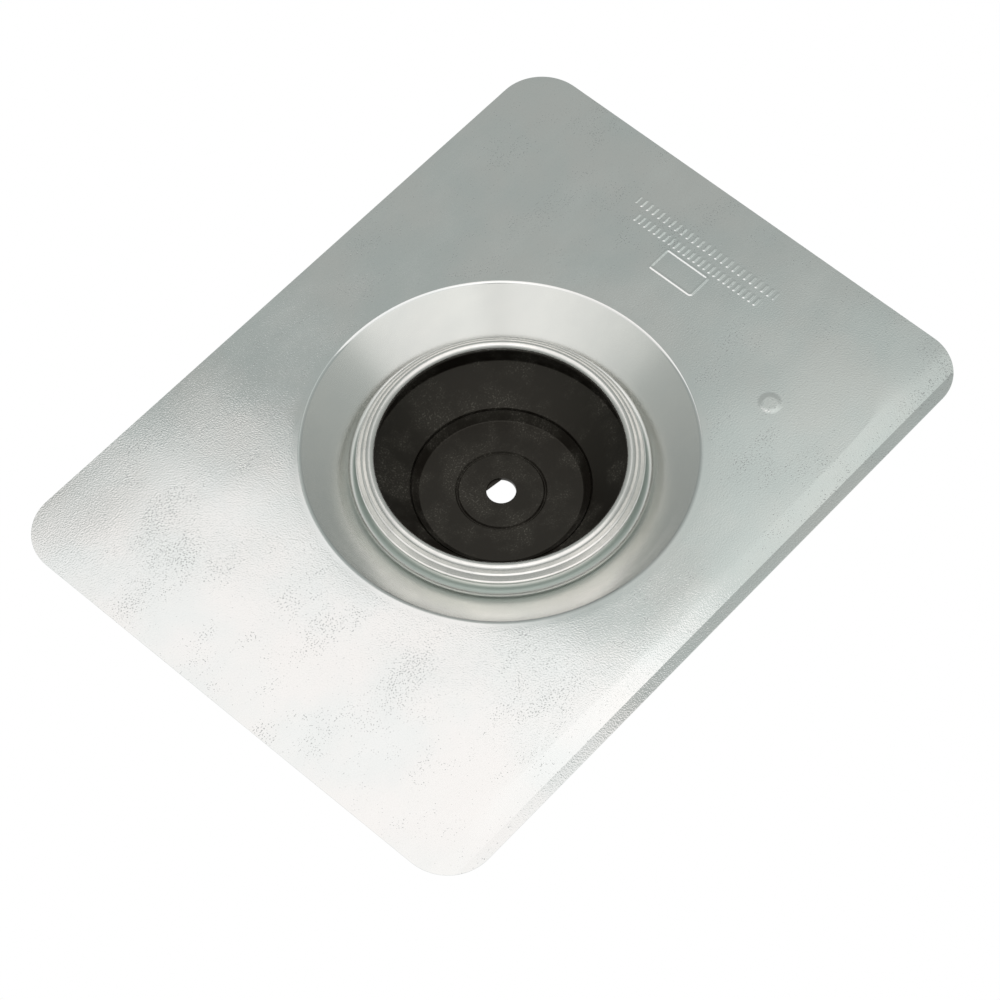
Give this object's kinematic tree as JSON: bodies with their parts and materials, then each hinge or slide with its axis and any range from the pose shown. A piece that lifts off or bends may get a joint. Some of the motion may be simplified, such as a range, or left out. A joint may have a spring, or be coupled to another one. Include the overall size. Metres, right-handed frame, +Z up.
{
  "type": "pipe flashing boot",
  "caption": "Galvanised roof flashing sheet with a drawn cone and a crimped black rubber collar that seals round a vent pipe.",
  "frame": {"origin": "where the pipe's axis meets the roof plane, on the sheet's underside", "axes": "+Z up the pipe and out of the roof, +X along the sheet's long side, +Y towards the creased long edge"},
  "size_m": [0.3048, 0.2286, 0.0341],
  "materials": {
    "galvanised_sheet": "galvanised, satin with fine mottling",
    "ring_steel": "galvanised, bright where it is rolled",
    "collar_rubber": "moulded black rubber, fine matt grain"
  },
  "bodies": {
    "root": {"base_sheet": "galvanised_sheet", "retaining_ring": "ring_steel", "collar": "collar_rubber"}
  },
  "joints": []
}
